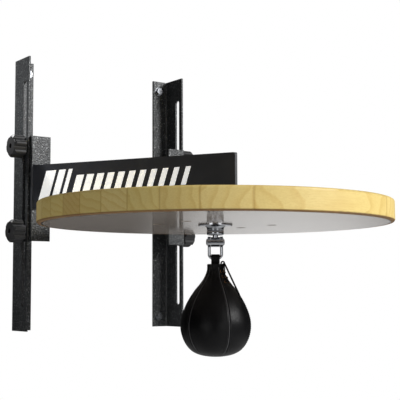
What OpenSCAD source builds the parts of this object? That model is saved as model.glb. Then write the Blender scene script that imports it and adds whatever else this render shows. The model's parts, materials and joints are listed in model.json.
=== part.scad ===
// Speed bag platform: two slotted wall rails carry a sliding steel frame. Four hand
// knobs clamp the frame at a height. The frame holds a round wooden backboard, and a
// ball swivel with a bail hangs the speed bag under it.
// Frame: origin on the wall plane, midway between the rails and at their mid-height,
// which is the centre of the four wall bolts. X runs along the wall, +Y into the wall,
// +Z up. All lengths are in millimetres.

/* [Wall rails] */
// Distance between the outer corners of the two rails
rail_span = 364; // [340:1:400]
// Length of each rail
rail_h = 533; // [500:1:600]
// Width of the flange that lies on the wall
wall_flange = 38.5; // [36:0.5:45]
// Depth of the flange that stands out from the wall
side_flange = 62; // [58:1:70]
// Thickness of the rail's steel
rail_t = 4; // [3:0.5:5]
// Width of the height slot
slot_w = 13; // [11:0.5:14]
// Distance from the wall to the middle of the slot
slot_y = 46; // [44:0.5:47]
// Steel left above and below the slot
slot_end = 46.5; // [40:0.5:60]

/* [Wall bolts] */
// Distance from the rail's corner to a wall bolt
wall_bolt_inset_x = 25; // [22:0.5:27]
// Distance from the rail's end to a wall bolt
wall_bolt_inset_z = 22.5; // [18:0.5:28]
// Radius of a wall bolt's shank behind the wall plane
wall_bolt_r = 4; // [3.5:0.1:4.1]
// Length of the shank behind the wall plane
wall_bolt_reach = 13; // [10:1:20]

/* [Sliding frame] */
// Width of a slider angle's front leg
slider_w = 39; // [36:0.1:40]
// Depth of a slider angle's side leg
slider_d = 50.8; // [48:0.1:52]
// Height of a slider angle
slider_h = 203; // [195:1:210]
// Thickness of a slider angle
slider_t = 4; // [3:0.5:5]
// Height of the sliders' middle above the rails' middle
slider_z = 7; // [0:1:14]
// Distance between an upper and a lower knob
knob_pitch = 164; // [150:1:170]
// Running gap between a slider and its rail
slide_gap = 0.3; // [0.2:0.1:0.5]
// Bottom edge of the plates above the rails' middle
plate_z = -33.2; // [-36:0.1:-30]
// Height of the cross plate and of the arms at the wall end
plate_h = 84; // [78:1:90]
// Thickness of the plates
plate_t = 4; // [3:0.5:5]
// How much lower the arms are at the nose
arm_taper = 7.9; // [0:0.1:12]
// Width of the flat nose where the arms meet
nose_w = 4.8; // [4:0.1:8]

/* [Backboard] */
// Radius of the round board
board_r = 304.8; // [290:0.1:320]
// Thickness of the board
board_t = 37; // [30:1:42]
// Distance from the wall to the board's centre
board_y = 420.3; // [410:0.1:430]
// Radius of the board's softened edges
board_edge = 4; // [2:0.5:5]
// Thickness of the strike face on the underside
face_t = 1.2; // [0.8:0.1:2]
// Size of the steel plate on top of the board
mount_plate = [230, 120, 6.4];
// Bolt spacing in that plate
bolt_space = [181, 87];

/* [Knobs] */
// Outer radius of a knob over its lobes
knob_r = 22.3; // [20:0.1:24]
// Length of a knob
knob_l = 27.5; // [25:0.5:34]
// Number of lobes
knob_lobes = 6; // [5:1:8]
// Radius of the threaded stud
stud_r = 5; // [4:0.5:6]

/* [Swivel] */
// Radius of the swivel's round plate
swivel_r = 29.6; // [28:0.1:32]
// Radius of the cup
cup_r = 14.5; // [13.5:0.1:16]
// Depth of the pin below the board
pin_drop = 30; // [29:0.5:31]
// Radius of the bail's round bar
bail_r = 2.6; // [2.4:0.1:3]
// Distance between the centres of the bail's legs
bail_w = 21.2; // [20.8:0.1:22]
// Depth of the bail's bow below the board
bow_drop = 57.4; // [56:0.2:60]
// Way the swivel is turned at rest
swivel_turn = -36; // [-90:1:90]

/* [Bag] */
// Largest radius of the bag
bag_r = 60; // [55:1:62]
// Depth of the widest place below the board
bag_wide_drop = 172; // [168:1:176]
// Depth of the bag's bottom below the board
bag_low_drop = 225.6; // [222:0.2:230]
// Depth of the top of the bag's throat below the board
throat_drop = 67.7; // [66:0.1:69]
// Radius of the throat
throat_r = 13.9; // [13:0.1:15]
// Thickness of the leather
leather_t = 2.4; // [1.5:0.1:3]

/* [Hidden] */
$fn = 64;

steel = "#4b4e52";
dark_steel = "#23242a";
zinc = "#b9bcc0";
chrome = "#d9dde2";
black_plastic = "#1b1b1d";
black_leather = "#161618";
wood = "#dcc07a";
laminate = "#b9b5ae";
bronze = "#7a5a34";

corner_x = rail_span / 2;
rail_end = rail_h / 2;
slot_half = rail_end - slot_end;
wall_bolt_x = corner_x - wall_bolt_inset_x;
wall_bolt_z = rail_end - wall_bolt_inset_z;
washer_t = 1.6;
shank_r = wall_bolt_r + 0.4;
wall_head_t = 5.5;
wall_head_r = 7.5;
wall_washer_r = 9.5;

slider_x = corner_x - rail_t - slide_gap;
slider_front = slot_y + slider_d / 2;
knob_z = [slider_z + knob_pitch / 2, slider_z - knob_pitch / 2];

plate_x = corner_x - 1.6;
plate_front = slider_front + plate_t;
plate_top = plate_z + plate_h;
nose_y = board_y + mount_plate[1] / 2;
nose_round = 4;
arm_angle = atan((plate_x - nose_w / 2) / (nose_y - slider_front));

board_top = plate_z - mount_plate[2];
board_low = board_top - board_t;
bolt_r = 4;
bolt_hole_r = 4.5;
sink_r = 9;
sink_depth = 9;
bolt_head_t = 5.3;
face_r = board_r - board_edge - 3;

nut_t = 8;
nut_r = 9.8;
knob_washer_t = 2;
knob_washer_r = 12;
washer_gap = 0.3;
washer_x = corner_x + washer_gap;
knob_x = washer_x + knob_washer_t;
stud_in = slider_x - slider_t - nut_t - 2;
stud_out = knob_x + 20;

swivel_t = 3;
screw_ring = 22.5;
ball_r = 8;
ball_z = board_low - 11.6;
ball_gap = 0.05;
cup_top = board_low - swivel_t;
cup_low = board_low - 18.6;
seat_t = 3;
neck_r = 4.5;
pin_z = board_low - pin_drop;
pin_r = 4;
pin_gap = 0.05;
eye_r = 9.4;
eye_in = 8;
eye_out = 13.2;
head_half = 7.7;
bow_z = board_low - bow_drop;
bow_corner = 6;

loop_w = 14.6;
loop_gap = 1.6;
loop_t = 2.2;
throat_z = board_low - throat_drop;
wide_z = board_low - bag_wide_drop;
low_z = board_low - bag_low_drop;
plug_t = 6;
bladder_t = 1;
valve_r = 3;
eyelet_turn = 52;
slit_half = 12;
lace_d = 3;
// Route of the lace's free end in the swivel's own frame: along the bail's pin, towards
// the front, and down from the board's underside.
lace_route = [
  [15, -4, -67], [16.2, -4, -69], [18.2, -4, -73], [20.1, -4, -77], [21.9, -4, -81],
  [23.8, -4, -85], [25.7, -4, -89], [27.5, -4, -93], [29.4, -4, -97], [31.2, -4, -101],
  [33.1, -4.1, -105], [34.9, -4.5, -109], [36.8, -5.6, -113], [38.2, -7.2, -116],
  [39.4, -9.6, -119], [40.3, -12, -121.5], [41, -16.6, -123.8], [41.4, -19.6, -125.6]
];

// A flat shape with round corners
module round_rect(size, r) {
  square([size[0] - 2 * r, size[1]], center = true);
  square([size[0], size[1] - 2 * r], center = true);
  for (sx = [-1, 1], sy = [-1, 1])
    translate([sx * (size[0] / 2 - r), sy * (size[1] / 2 - r)]) circle(r);
}

// A round bar along X, from x0 to x1
module bar_x(x0, x1, r) {
  translate([min(x0, x1), 0, 0]) rotate([0, 90, 0]) cylinder(h = abs(x1 - x0), r = r);
}

// A round bar along +Y from y0 to y1
module bar_y(y0, y1, r) {
  translate([0, y1, 0]) rotate([90, 0, 0]) cylinder(h = y1 - y0, r = r);
}

// A hexagon bar along +Y from y0 to y1
module hex_y(y0, y1, r) {
  translate([0, y1, 0]) rotate([90, 0, 0]) cylinder(h = y1 - y0, r = r, $fn = 6);
}

// Places what belongs to the swivel and the bag, turned as it hangs at rest
module swivel_frame() {
  translate([0, -board_y, 0]) rotate([0, 0, swivel_turn]) children();
}

// ---- wall rails ----
module rail_section() {
  toe = 1.5;
  root = 2.5;
  translate([0, -rail_t]) square([wall_flange - toe, rail_t]);
  translate([0, -rail_t + toe]) square([wall_flange, rail_t - toe]);
  translate([wall_flange - toe, -rail_t + toe]) circle(toe);
  translate([0, -side_flange + toe]) square([rail_t, side_flange - toe]);
  translate([0, -side_flange]) square([rail_t - toe, side_flange]);
  translate([rail_t - toe, -side_flange + toe]) circle(toe);
  difference() {
    translate([rail_t, -rail_t - root]) square(root);
    translate([rail_t + root, -rail_t - root]) circle(root);
  }
}

module rail() {
  difference() {
    translate([-corner_x, 0, -rail_end]) linear_extrude(rail_h) rail_section();
    translate([-corner_x - 1, -slot_y - slot_w / 2, -slot_half + slot_w / 2])
      cube([rail_t + 2, slot_w, 2 * slot_half - slot_w]);
    for (s = [-1, 1])
      translate([0, -slot_y, s * (slot_half - slot_w / 2)])
        bar_x(-corner_x - 1, -corner_x + rail_t + 1, slot_w / 2);
    for (s = [-1, 1]) translate([-wall_bolt_x, 0, s * wall_bolt_z]) bar_y(-rail_t - 1, 1, shank_r + 0.6);
  }
}

module left_rail() { color(steel) rail(); }
module right_rail() { color(steel) mirror([1, 0, 0]) rail(); }

module wall_bolts() {
  head_y = -rail_t - washer_t;
  tip = 1;
  for (s = [-1, 1]) translate([-wall_bolt_x, 0, s * wall_bolt_z]) {
    bar_y(head_y, 0, shank_r);
    bar_y(0, wall_bolt_reach - tip, wall_bolt_r);
    translate([0, wall_bolt_reach - tip, 0]) rotate([-90, 0, 0])
      cylinder(h = tip, r1 = wall_bolt_r, r2 = wall_bolt_r - tip);
    hex_y(head_y - wall_head_t, head_y, wall_head_r);
  }
}

module left_wall_bolts() { color(zinc) wall_bolts(); }
module right_wall_bolts() { color(zinc) mirror([1, 0, 0]) wall_bolts(); }

module bolt_washers() {
  for (s = [-1, 1]) translate([-wall_bolt_x, 0, s * wall_bolt_z]) difference() {
    bar_y(-rail_t - washer_t, -rail_t, wall_washer_r);
    bar_y(-rail_t - washer_t - 1, -rail_t + 1, shank_r + 0.3);
  }
}

module left_bolt_washers() { color(zinc) bolt_washers(); }
module right_bolt_washers() { color(zinc) mirror([1, 0, 0]) bolt_washers(); }

// ---- sliding frame ----
module slider_angle() {
  root = 3;
  difference() {
    translate([-slider_x, -slider_front, slider_z - slider_h / 2]) linear_extrude(slider_h) {
      square([slider_w, slider_t]);
      square([slider_t, slider_d]);
      difference() {
        translate([slider_t, slider_t]) square(root);
        translate([slider_t + root, slider_t + root]) circle(root);
      }
    }
    for (z = knob_z) translate([0, -slot_y, z])
      bar_x(-slider_x - 1, -slider_x + slider_t + 1, stud_r + 0.4);
  }
}

module left_slider_angle() { color(steel) slider_angle(); }
module right_slider_angle() { color(steel) mirror([1, 0, 0]) slider_angle(); }

// Nuts welded inside the angle, one behind each knob
module weld_nuts() {
  inner_x = -slider_x + slider_t;
  for (z = knob_z) translate([inner_x, -slot_y, z]) difference() {
    rotate([0, 90, 0]) cylinder(h = nut_t, r = nut_r, $fn = 6);
    bar_x(-1, nut_t + 1, stud_r + 0.05);
  }
}

module left_weld_nuts() { color(zinc) weld_nuts(); }
module right_weld_nuts() { color(zinc) mirror([1, 0, 0]) weld_nuts(); }

module cross_plate() {
  color(dark_steel) translate([-plate_x, -plate_front, plate_z])
    cube([2 * plate_x, plate_t, plate_h]);
}

// The arm's outline in plan: from the cross plate to the nose on the centre line
module arm_plan() {
  run = [sin(arm_angle), -cos(arm_angle)];
  side = [cos(arm_angle), sin(arm_angle)];
  start = [-plate_x, -slider_front];
  inner = start + plate_t * side;
  outer_root = start + run * (plate_t / cos(arm_angle));
  inner_root = inner + run * ((inner[1] + plate_front) / cos(arm_angle));
  inner_nose = inner + run * (-inner[0] / sin(arm_angle));
  polygon([outer_root, [-nose_w / 2, -nose_y], [0, -nose_y], inner_nose, inner_root]);
}

module arm() {
  slope = atan(arm_taper / (nose_y - slider_front));
  difference() {
    translate([0, 0, plate_z]) linear_extrude(plate_h) arm_plan();
    translate([0, -slider_front, plate_top]) rotate([slope, 0, 0])
      translate([-rail_span, -2 * nose_y, 0]) cube([2 * rail_span, 2 * nose_y, plate_h]);
    translate([0, -nose_y, plate_top - arm_taper]) difference() {
      translate([-rail_span, -1, -nose_round]) cube([2 * rail_span, nose_round + 1, nose_round + 1]);
      translate([0, nose_round, -nose_round]) bar_x(-2 * rail_span, 2 * rail_span, nose_round);
    }
  }
}

module left_arm() { color(dark_steel) arm(); }
module right_arm() { color(dark_steel) mirror([1, 0, 0]) arm(); }

module at_bolts() {
  for (sx = [-1, 1], sy = [-1, 1])
    translate([sx * bolt_space[0] / 2, -board_y + sy * bolt_space[1] / 2, 0]) children();
}

module mounting_plate() {
  color(dark_steel) difference() {
    translate([0, -board_y, board_top]) linear_extrude(mount_plate[2])
      round_rect([mount_plate[0], mount_plate[1]], 10);
    at_bolts() translate([0, 0, board_top - 1]) cylinder(h = mount_plate[2] + 2, r = bolt_hole_r);
  }
}

module board_bolts() {
  head_z = board_low + sink_depth - bolt_head_t;
  color(zinc) at_bolts() {
    translate([0, 0, head_z]) cylinder(h = bolt_head_t, r = 7.4, $fn = 6);
    translate([0, 0, board_low + sink_depth])
      cylinder(h = plate_z + washer_t + 9 - board_low - sink_depth, r = bolt_r);
  }
}

module board_washers() {
  color(zinc) at_bolts() translate([0, 0, plate_z]) difference() {
    cylinder(h = washer_t, r = 9);
    translate([0, 0, -1]) cylinder(h = washer_t + 2, r = bolt_r + 0.3);
  }
}

module board_nuts() {
  color(zinc) at_bolts() translate([0, 0, plate_z + washer_t]) difference() {
    cylinder(h = 6.5, r = 7.4, $fn = 6);
    translate([0, 0, -1]) cylinder(h = 8.5, r = bolt_r + 0.04);
  }
}

// ---- backboard ----
module backboard() {
  e = board_edge;
  color(wood) difference() {
    translate([0, -board_y, board_low]) union() {
      cylinder(h = board_t, r = board_r - e, $fn = 180);
      translate([0, 0, e]) cylinder(h = board_t - 2 * e, r = board_r, $fn = 180);
      for (z = [e, board_t - e]) translate([0, 0, z])
        rotate_extrude($fn = 180) translate([board_r - e, 0]) circle(e);
    }
    translate([0, -board_y, board_low - 1]) cylinder(h = face_t + 1, r = face_r, $fn = 180);
    at_bolts() {
      translate([0, 0, board_low - 1]) cylinder(h = sink_depth + 1, r = sink_r);
      translate([0, 0, board_low - 1]) cylinder(h = board_t + 2, r = bolt_hole_r);
    }
    at_swivel_screws() translate([0, 0, board_low - 1]) cylinder(h = 20, r = 2.3);
  }
}

module strike_face() {
  color(laminate) difference() {
    translate([0, -board_y, board_low]) cylinder(h = face_t, r = face_r, $fn = 180);
    at_bolts() translate([0, 0, board_low - 1]) cylinder(h = face_t + 2, r = sink_r);
    at_swivel_screws() translate([0, 0, board_low - 1]) cylinder(h = face_t + 2, r = 2.3);
  }
}

// ---- knobs ----
// A lobed hand knob that points along -X from x = 0
module knob_shape() {
  lobe_r = 6.3;
  chamfer = 4;
  hub_t = 2;
  difference() {
    union() {
      bar_x(-hub_t, 0, 13);
      intersection() {
        translate([-knob_l, 0, 0]) rotate([0, 90, 0]) linear_extrude(knob_l - hub_t) {
          circle(knob_r - 5);
          for (i = [0:knob_lobes - 1]) rotate(i * 360 / knob_lobes + 15)
            translate([knob_r - lobe_r, 0]) circle(lobe_r);
        }
        translate([-knob_l, 0, 0]) rotate([0, 90, 0]) union() {
          cylinder(h = chamfer, r1 = knob_r - chamfer, r2 = knob_r);
          translate([0, 0, chamfer]) cylinder(h = knob_l - hub_t - chamfer - 1.5, r = knob_r);
          translate([0, 0, knob_l - hub_t - 1.5]) cylinder(h = 1.5, r1 = knob_r, r2 = knob_r - 1.5);
        }
      }
    }
    bar_x(-knob_l - 1, 1, stud_r);
  }
}

module knob_at(z) { color(black_plastic) translate([-knob_x, -slot_y, z]) knob_shape(); }
module stud_at(z) { color(zinc) translate([0, -slot_y, z]) bar_x(-stud_out, -stud_in, stud_r); }

module washer_at(z) {
  color(zinc) translate([0, -slot_y, z]) difference() {
    bar_x(-knob_x, -washer_x, knob_washer_r);
    bar_x(-knob_x - 1, -washer_x + 1, stud_r + 0.05);
  }
}

module left_upper_knob() { knob_at(knob_z[0]); }
module left_upper_stud() { stud_at(knob_z[0]); }
module left_upper_washer() { washer_at(knob_z[0]); }
module left_lower_knob() { knob_at(knob_z[1]); }
module left_lower_stud() { stud_at(knob_z[1]); }
module left_lower_washer() { washer_at(knob_z[1]); }
module right_upper_knob() { mirror([1, 0, 0]) knob_at(knob_z[0]); }
module right_upper_stud() { mirror([1, 0, 0]) stud_at(knob_z[0]); }
module right_upper_washer() { mirror([1, 0, 0]) washer_at(knob_z[0]); }
module right_lower_knob() { mirror([1, 0, 0]) knob_at(knob_z[1]); }
module right_lower_stud() { mirror([1, 0, 0]) stud_at(knob_z[1]); }
module right_lower_washer() { mirror([1, 0, 0]) washer_at(knob_z[1]); }

// ---- swivel ----
module at_swivel_screws() {
  swivel_frame() for (a = [45:90:315]) rotate(a) translate([screw_ring, 0, 0]) children();
}

module swivel_plate() {
  color(chrome) difference() {
    swivel_frame() {
      translate([0, 0, board_low - swivel_t / 2]) cylinder(h = swivel_t / 2, r = swivel_r);
      translate([0, 0, board_low - swivel_t])
        cylinder(h = swivel_t / 2, r1 = swivel_r - 1.5, r2 = swivel_r);
    }
    at_swivel_screws() translate([0, 0, board_low - swivel_t - 1]) {
      cylinder(h = swivel_t + 2, r = 2.3);
      cylinder(h = 2.9, r1 = 6.2, r2 = 2.3);
    }
  }
}

module swivel_screws() {
  color(chrome) at_swivel_screws() translate([0, 0, board_low - swivel_t]) {
    cylinder(h = 1.7, r1 = 4.2, r2 = 2);
    translate([0, 0, 1.7]) cylinder(h = 15, r = 2);
  }
}

module swivel_cup() {
  lip = 2;
  color(chrome) swivel_frame() difference() {
    union() {
      translate([0, 0, cup_low + lip]) cylinder(h = cup_top - cup_low - lip, r = cup_r);
      translate([0, 0, cup_low]) cylinder(h = lip, r1 = cup_r - lip, r2 = cup_r);
    }
    translate([0, 0, ball_z]) sphere(ball_r + ball_gap);
    translate([0, 0, ball_z]) cylinder(h = cup_top - ball_z + 1, r = ball_r + ball_gap);
    translate([0, 0, cup_low - 1]) cylinder(h = ball_z - cup_low, r = 6.6);
  }
}

// Nylon seat above the ball
module swivel_seat() {
  color("ivory") swivel_frame() difference() {
    translate([0, 0, cup_top - seat_t]) cylinder(h = seat_t, r = ball_r - 0.2);
    translate([0, 0, ball_z]) sphere(ball_r + ball_gap);
  }
}

// Ball, neck and head in one piece; the head holds the pin
module swivel_ball() {
  color(chrome) swivel_frame() difference() {
    union() {
      translate([0, 0, ball_z]) sphere(ball_r);
      translate([0, 0, pin_z]) cylinder(h = ball_z - pin_z, r = neck_r);
      translate([0, 0, pin_z]) bar_x(-head_half, head_half, 8.6);
    }
    translate([0, 0, pin_z]) bar_x(-head_half - 1, head_half + 1, pin_r + pin_gap);
  }
}

module swivel_pin() {
  color(chrome) swivel_frame() translate([0, 0, pin_z]) {
    bar_x(-eye_out - 0.4, eye_out + 0.4, pin_r);
    bar_x(eye_out + 0.4, eye_out + 2.9, 6.4);
    bar_x(-eye_out - 2.9, -eye_out - 0.4, 6.4);
  }
}

module swivel_bail() {
  half = bail_w / 2;
  color(chrome) swivel_frame() difference() {
    union() {
      for (s = [-1, 1]) {
        translate([0, 0, pin_z]) bar_x(s * eye_in, s * eye_out, eye_r);
        translate([s * half, 0, bow_z + bow_corner])
          cylinder(h = pin_z - bow_z - bow_corner, r = bail_r);
        translate([s * (half - bow_corner), 0, bow_z + bow_corner]) rotate([90, 0, 0])
          rotate([0, 0, s > 0 ? -90 : 180]) rotate_extrude(angle = 90)
            translate([bow_corner, 0]) circle(bail_r);
      }
      translate([0, 0, bow_z]) bar_x(-half + bow_corner, half - bow_corner, bail_r);
    }
    translate([0, 0, pin_z]) bar_x(-eye_out - 1, eye_out + 1, pin_r + pin_gap);
  }
}

// ---- bag ----
// Strap loop that hangs over the bail's bow and ends on the throat's plug
module bag_loop() {
  inner = bail_r + loop_gap;
  outer = inner + loop_t;
  color(black_leather) swivel_frame() difference() {
    union() {
      translate([0, 0, bow_z]) bar_x(-loop_w / 2, loop_w / 2, outer);
      translate([-loop_w / 2, -outer, throat_z]) cube([loop_w, 2 * outer, bow_z - throat_z]);
    }
    translate([0, 0, bow_z]) bar_x(-loop_w, loop_w, inner);
    translate([-loop_w, -inner, throat_z + 3]) cube([2 * loop_w, 2 * inner, bow_z - throat_z - 3]);
  }
}

// Radius of the bag at height z: a round belly that runs up into a slim throat
function belly_r(a) = bag_r * cos(a);
function belly_z(a) = wide_z + (a < 0 ? wide_z - low_z : 68) * sin(a);
function bag_outline(inset) = concat(
  [for (a = [-90:6:48]) [max(0, belly_r(a) - inset * cos(a)), belly_z(a) - inset * sin(a)]],
  [[30.6 - inset * 0.8, board_low - 105 - inset * 0.5], [21.8 - inset * 0.9, board_low - 95],
   [16.8 - inset, board_low - 86], [14.4 - inset, board_low - 78]]);

module bag_body(inset, top_z, top_r) {
  rotate_extrude($fn = 96) polygon(concat(bag_outline(inset), [[top_r, top_z], [0, top_z]]));
}

module bag_shell() {
  color(black_leather) swivel_frame() difference() {
    bag_body(0, throat_z, throat_r);
    bag_body(leather_t, throat_z + 1, throat_r - leather_t);
  }
}

module bag_bladder() {
  top = throat_z - plug_t - 2;
  gap = leather_t + 0.3;
  color("#3a2a26") swivel_frame() difference() {
    bag_body(gap, top, throat_r - gap);
    bag_body(gap + bladder_t, top - bladder_t, throat_r - gap - bladder_t);
    translate([0, 0, top - 6]) cylinder(h = 8, r = valve_r);
  }
}

module bladder_valve() {
  top = throat_z - plug_t - 2;
  color("#3a2a26") swivel_frame() translate([0, 0, top - 5]) cylinder(h = 6, r = valve_r);
}

module throat_plug() {
  color(black_leather) swivel_frame() translate([0, 0, throat_z - plug_t])
    cylinder(h = plug_t, r = throat_r - leather_t);
}

// Eyelets on both edges of the laced slit
module bag_eyelets() {
  rows = [[-80.5, 14.6], [-89.5, 18.2], [-98.5, 24.6]];
  color(bronze) swivel_frame() for (side = [-1, 1], row = rows)
    rotate([0, 0, -90 + eyelet_turn + side * slit_half])
      translate([row[1] - 1.4, 0, board_low + row[0]]) rotate([0, 65, 0]) cylinder(h = 2, r = 1.9);
}

// A tube swept along points, with a flat ring at each point
function unit(v) = v / norm(v);
function tangent(p, i) = unit(p[min(i + 1, len(p) - 1)] - p[max(i - 1, 0)]);
function ring(p, i, r, n) = let (
  t = tangent(p, i),
  a = unit(cross(t, [0, 1, 0])),
  b = cross(t, a)
) [for (k = [0:n - 1]) p[i] + r * (cos(k * 360 / n) * a + sin(k * 360 / n) * b)];

module cord_tube(p, r, n) {
  last = len(p) - 1;
  points = [for (i = [0:last]) each ring(p, i, r, n)];
  sides = [for (i = [0:last - 1], k = [0:n - 1])
    [i * n + k, i * n + (k + 1) % n, (i + 1) * n + (k + 1) % n, (i + 1) * n + k]];
  ends = [[for (k = [n - 1:-1:0]) k], [for (k = [0:n - 1]) last * n + k]];
  polyhedron(points, concat(sides, ends));
}

module lace_end() {
  color(black_leather) swivel_frame() translate([0, 0, board_low])
    cord_tube(lace_route, lace_d / 2, 8);
}

left_rail();
right_rail();
left_wall_bolts();
right_wall_bolts();
left_bolt_washers();
right_bolt_washers();
left_slider_angle();
right_slider_angle();
left_weld_nuts();
right_weld_nuts();
cross_plate();
left_arm();
right_arm();
mounting_plate();
board_bolts();
board_washers();
board_nuts();
backboard();
strike_face();
left_upper_knob();
left_upper_stud();
left_upper_washer();
left_lower_knob();
left_lower_stud();
left_lower_washer();
right_upper_knob();
right_upper_stud();
right_upper_washer();
right_lower_knob();
right_lower_stud();
right_lower_washer();
swivel_plate();
swivel_screws();
swivel_cup();
swivel_seat();
swivel_ball();
swivel_pin();
swivel_bail();
bag_loop();
throat_plug();
bag_shell();
bag_bladder();
bladder_valve();
bag_eyelets();
lace_end();
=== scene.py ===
"""Speed bag platform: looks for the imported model.

Metres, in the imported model's own frame: origin on the wall plane between the rails,
X along the wall, +Y into the wall, +Z up.
"""
import json
import math

import bmesh
import bpy
from mathutils import Matrix, Vector, noise


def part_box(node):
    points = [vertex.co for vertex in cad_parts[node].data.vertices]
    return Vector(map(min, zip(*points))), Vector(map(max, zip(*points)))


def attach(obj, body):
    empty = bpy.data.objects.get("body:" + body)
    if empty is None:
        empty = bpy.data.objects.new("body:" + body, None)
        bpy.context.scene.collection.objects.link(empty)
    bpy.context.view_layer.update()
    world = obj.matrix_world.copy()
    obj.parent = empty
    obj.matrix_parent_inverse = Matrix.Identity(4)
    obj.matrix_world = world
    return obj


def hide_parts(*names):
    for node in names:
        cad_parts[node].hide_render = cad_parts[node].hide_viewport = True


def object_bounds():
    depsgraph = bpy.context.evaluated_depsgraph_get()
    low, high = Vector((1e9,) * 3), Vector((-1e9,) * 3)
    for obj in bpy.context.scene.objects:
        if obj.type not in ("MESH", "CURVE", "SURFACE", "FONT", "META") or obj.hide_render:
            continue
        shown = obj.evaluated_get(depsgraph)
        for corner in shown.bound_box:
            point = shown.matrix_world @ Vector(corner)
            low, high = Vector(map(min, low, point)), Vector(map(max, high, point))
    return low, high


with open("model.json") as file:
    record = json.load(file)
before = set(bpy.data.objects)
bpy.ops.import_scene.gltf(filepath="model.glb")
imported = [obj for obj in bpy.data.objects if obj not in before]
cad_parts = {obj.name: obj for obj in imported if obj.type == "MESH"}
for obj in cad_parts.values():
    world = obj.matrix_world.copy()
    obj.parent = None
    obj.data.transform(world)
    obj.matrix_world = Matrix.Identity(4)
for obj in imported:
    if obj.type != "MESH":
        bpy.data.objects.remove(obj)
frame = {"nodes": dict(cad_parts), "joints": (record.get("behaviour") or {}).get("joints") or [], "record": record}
cad_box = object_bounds()
NODES = frame["nodes"]
MM = 0.001


# ---------------------------------------------------------------- frame dimensions
def joint(name):
    """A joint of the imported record, by name."""
    return next(j for j in frame["joints"] if j["name"] == name)


BOARD_LO, BOARD_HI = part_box("backboard")
BOARD_MID = (BOARD_LO + BOARD_HI) / 2
BOARD_LOW = BOARD_LO.z
FACE_LO, FACE_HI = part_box("strike_face")
FACE_R = (FACE_HI.x - FACE_LO.x) / 2
BAG_AXIS = Vector((joint("swivel_spin")["pos_m"][0], joint("swivel_spin")["pos_m"][1], 0))
PIN_Z = joint("bail_swing")["pos_m"][2]
BOW_Z = joint("bag_swing")["pos_m"][2]
PIN_DIR = Vector(joint("bail_swing")["axis"]).normalized()
SWIVEL_TURN = math.atan2(PIN_DIR.y, PIN_DIR.x)
# The swivel's own frame: x along the pin, -y towards the front, z below the board
SWIVEL = Matrix.Translation(BAG_AXIS + Vector((0, 0, BOARD_LOW))) @ Matrix.Rotation(SWIVEL_TURN, 4, "Z")


# ---------------------------------------------------------------- camera
CAM_LENS = 87.8
CAM_AT = Vector((-1.005, -1.768, -0.1876))
CAM_YAW, CAM_PITCH, CAM_ROLL = (math.radians(a) for a in (35.82, 5.23, -0.23))


def make_camera():
    """The camera at the photograph's viewing angle: yaw from +Y towards +X, pitch up."""
    data = bpy.data.cameras.new("camera")
    data.lens = CAM_LENS
    data.sensor_width = 36
    data.clip_start, data.clip_end = 0.05, 60
    cam = bpy.data.objects.new("camera", data)
    bpy.context.scene.collection.objects.link(cam)
    turn = Matrix.Rotation(-CAM_YAW, 4, "Z") @ Matrix.Rotation(math.pi / 2 + CAM_PITCH, 4, "X")
    cam.matrix_world = Matrix.Translation(CAM_AT) @ turn @ Matrix.Rotation(CAM_ROLL, 4, "Z")
    bpy.context.scene.camera = cam


make_camera()


# ---------------------------------------------------------------- mesh helpers
def link(name, data):
    """A new object with that data, in the scene."""
    obj = bpy.data.objects.new(name, data)
    bpy.context.scene.collection.objects.link(obj)
    return obj


def mesh_object(name, points, faces, smooth=True):
    """A mesh object from points and faces, normals outwards."""
    mesh = bpy.data.meshes.new(name)
    mesh.from_pydata([tuple(p) for p in points], [], faces)
    bm = bmesh.new()
    bm.from_mesh(mesh)
    bmesh.ops.recalc_face_normals(bm, faces=bm.faces)
    bm.to_mesh(mesh)
    bm.free()
    mesh.polygons.foreach_set("use_smooth", [smooth] * len(mesh.polygons))
    return link(name, mesh)


def loft(name, rings, closed_ends=True, smooth=True, loop=False):
    """A tube through rings of points; loop joins the last ring to the first."""
    n = len(rings[0])
    points = [p for ring in rings for p in ring]
    count = len(rings)
    faces = []
    for i in range(count if loop else count - 1):
        a, b = i * n, (i + 1) % count * n
        faces += [(a + k, a + (k + 1) % n, b + (k + 1) % n, b + k) for k in range(n)]
    if closed_ends and not loop:
        faces.append(tuple(reversed(range(n))))
        faces.append(tuple(range((count - 1) * n, count * n)))
    return mesh_object(name, points, faces, smooth)


def tubes(name, ring_sets):
    """One mesh of several closed tubes, each given as its rings of points."""
    points, faces = [], []
    for rings in ring_sets:
        base, n = len(points), len(rings[0])
        points += [p for ring in rings for p in ring]
        for i in range(len(rings) - 1):
            a, b = base + i * n, base + (i + 1) * n
            faces += [(a + k, a + (k + 1) % n, b + (k + 1) % n, b + k) for k in range(n)]
        faces.append(tuple(range(base + n - 1, base - 1, -1)))
        last = base + (len(rings) - 1) * n
        faces.append(tuple(range(last, last + n)))
    return mesh_object(name, points, faces)


def revolve(name, profile, sides=96, at=None):
    """A closed solid turned about the local z axis; the profile's ends lie on the axis."""
    rings = [[Vector((max(r, 1e-5) * math.cos(a), max(r, 1e-5) * math.sin(a), z))
              for a in (math.tau * k / sides for k in range(sides))] for r, z in profile]
    obj = loft(name, rings)
    if at is not None:
        obj.data.transform(at)
    return obj


def sweep(path, radius, sides=10, loop=False):
    """Rings of points round a path; radius is a number or a function of the way along, 0 to 1."""
    rings = []
    count = len(path)
    normal = None
    for i, p in enumerate(path):
        ahead = path[(i + 1) % count] if loop else path[min(i + 1, count - 1)]
        back = path[i - 1] if loop or i else path[0]
        t = (ahead - back).normalized()
        if normal is None:
            normal = t.orthogonal().normalized()
        normal = (normal - t * normal.dot(t)).normalized()
        side = t.cross(normal)
        r = radius(i / (count - 1)) if callable(radius) else radius
        rings.append([p + (normal * math.cos(a) + side * math.sin(a)) * r
                      for a in (math.tau * k / sides for k in range(sides))])
    return rings


def subdivide(obj, levels=1):
    mod = obj.modifiers.new("subdivision", "SUBSURF")
    mod.levels = mod.render_levels = levels


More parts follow.
